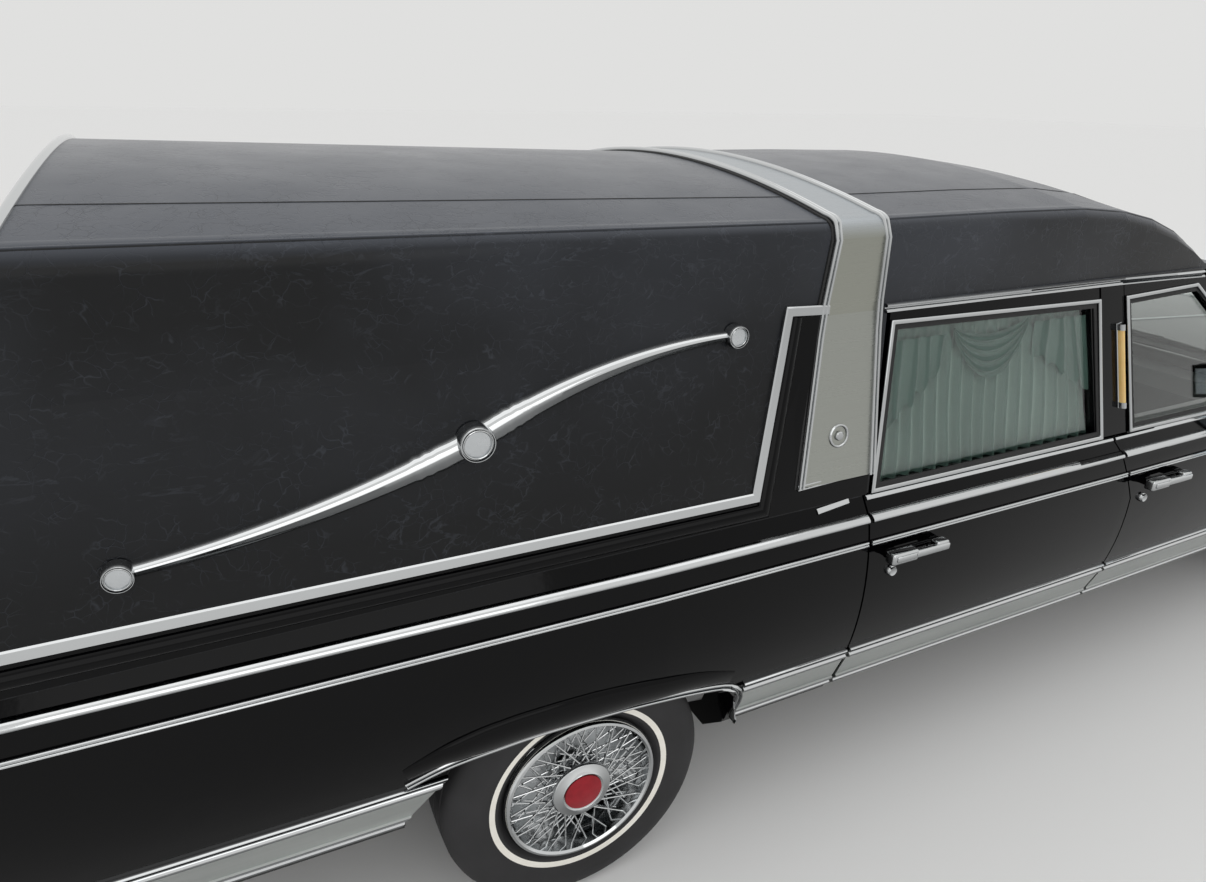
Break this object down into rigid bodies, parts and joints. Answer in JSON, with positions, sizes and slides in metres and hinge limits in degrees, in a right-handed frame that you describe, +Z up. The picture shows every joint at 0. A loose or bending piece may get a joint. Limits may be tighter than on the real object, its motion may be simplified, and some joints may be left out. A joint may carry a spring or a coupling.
{
  "type": "hearse",
  "caption": "Long hearse with padded roof and blind quarters, wrap-over band, landau bars, hinged side, loading and hood doors, steered front wheels.",
  "frame": {"origin": "centre of the car's footprint, on the floor under the tyres", "axes": "+X forward, +Y to the car's left, +Z up"},
  "size_m": [6.33, 2.2, 1.8342],
  "materials": {
    "body_paint": "gloss",
    "roof_vinyl": "satin",
    "brushed_band": "brushed",
    "bright_chrome": "polished",
    "window_glass": "clear",
    "lamp_glass": "fluted",
    "tail_lens": "gloss",
    "amber_lens": "gloss",
    "tyre_rubber": "matte",
    "curtain_cloth": "satin",
    "seat_leather": "satin",
    "dash_plastic": "matte",
    "deck_wood": "varnished",
    "floor_paint": "matte",
    "chassis_steel": "matte",
    "cast_engine": "rough",
    "exhaust_steel": "dull",
    "tank_steel": "matte"
  },
  "bodies": {
    "body": {"chassis_frame": "chassis_steel", "floor_pan": "floor_paint", "engine_block": "cast_engine", "exhaust": "exhaust_steel", "fuel_tank": "tank_steel", "rear_axle": "chassis_steel", "front_suspension": "chassis_steel", "firewall": "body_paint", "front_fenders": "body_paint", "quarter_panels": "body_paint", "vinyl_roof": "roof_vinyl", "roof_band": "brushed_band", "pillars": "body_paint", "windshield": "window_glass", "landau_bars": "bright_chrome", "post_lamps": "amber_lens", "front_panel": "body_paint", "grille": "bright_chrome", "headlamps": "lamp_glass", "front_bumper": "bright_chrome", "rear_bumper": "bright_chrome", "tail_lamps": "tail_lens", "front_seat": "seat_leather", "dashboard": "dash_plastic", "casket_deck": "deck_wood"},
    "front_door_right": {"front_door_right": "body_paint", "front_door_glass_right": "window_glass"},
    "rear_door_right": {"rear_door_right": "body_paint", "rear_door_glass_right": "window_glass", "curtain_right": "curtain_cloth"},
    "knuckle_right": {"knuckle_right": "chassis_steel"},
    "wheel_front_right": {"wheel_front_right": "bright_chrome", "tyre_front_right": "tyre_rubber"},
    "wheel_rear_right": {"wheel_rear_right": "bright_chrome", "tyre_rear_right": "tyre_rubber"},
    "front_door_left": {"front_door_left": "body_paint", "front_door_glass_left": "window_glass"},
    "rear_door_left": {"rear_door_left": "body_paint", "rear_door_glass_left": "window_glass", "curtain_left": "curtain_cloth"},
    "knuckle_left": {"knuckle_left": "chassis_steel"},
    "wheel_front_left": {"wheel_front_left": "bright_chrome", "tyre_front_left": "tyre_rubber"},
    "wheel_rear_left": {"wheel_rear_left": "bright_chrome", "tyre_rear_left": "tyre_rubber"},
    "hood": {"hood": "body_paint"},
    "loading_door": {"loading_door": "body_paint", "loading_door_glass": "window_glass", "loading_door_curtain": "curtain_cloth"}
  },
  "joints": [
    {"name": "front_door_right_hinge", "type": "hinge", "parent": "body", "child": "front_door_right", "pos_m": [1.515, -0.962, 0.7], "axis": [0, 0, 1], "range_deg": [0, 65]},
    {"name": "rear_door_right_hinge", "type": "hinge", "parent": "body", "child": "rear_door_right", "pos_m": [0.342, -0.971, 0.7], "axis": [0, 0, 1], "range_deg": [0, 65]},
    {"name": "steer_right", "type": "hinge", "parent": "body", "child": "knuckle_right", "pos_m": [2.135, -0.735, 0.35], "axis": [0, 0, 1], "range_deg": [-34, 34]},
    {"name": "wheel_front_right_spin", "type": "hinge", "parent": "knuckle_right", "child": "wheel_front_right", "pos_m": [2.135, -0.785, 0.35], "axis": [0, 1, 0], "continuous": true},
    {"name": "wheel_rear_right_spin", "type": "hinge", "parent": "body", "child": "wheel_rear_right", "pos_m": [-1.545, -0.805, 0.35], "axis": [0, 1, 0], "continuous": true},
    {"name": "front_door_left_hinge", "type": "hinge", "parent": "body", "child": "front_door_left", "pos_m": [1.515, 0.962, 0.7], "axis": [0, 0, -1], "range_deg": [0, 65]},
    {"name": "rear_door_left_hinge", "type": "hinge", "parent": "body", "child": "rear_door_left", "pos_m": [0.342, 0.971, 0.7], "axis": [0, 0, -1], "range_deg": [0, 65]},
    {"name": "steer_left", "type": "hinge", "parent": "body", "child": "knuckle_left", "pos_m": [2.135, 0.735, 0.35], "axis": [0, 0, 1], "range_deg": [-34, 34]},
    {"name": "wheel_front_left_spin", "type": "hinge", "parent": "knuckle_left", "child": "wheel_front_left", "pos_m": [2.135, 0.785, 0.35], "axis": [0, 1, 0], "continuous": true},
    {"name": "wheel_rear_left_spin", "type": "hinge", "parent": "body", "child": "wheel_rear_left", "pos_m": [-1.545, 0.805, 0.35], "axis": [0, 1, 0], "continuous": true},
    {"name": "hood_hinge", "type": "hinge", "parent": "body", "child": "hood", "pos_m": [1.522, 0, 0.976], "axis": [0, -1, 0], "range_deg": [0, 52]},
    {"name": "loading_door_hinge", "type": "hinge", "parent": "body", "child": "loading_door", "pos_m": [-2.83445, 0.604, 1.05588], "axis": [-0.4274, 0, -0.9041], "range_deg": [0, 95]}
  ],
  "couplings": [
    {"joint": "steer_left", "follows": "steer_right", "ratio": 1}
  ]
}
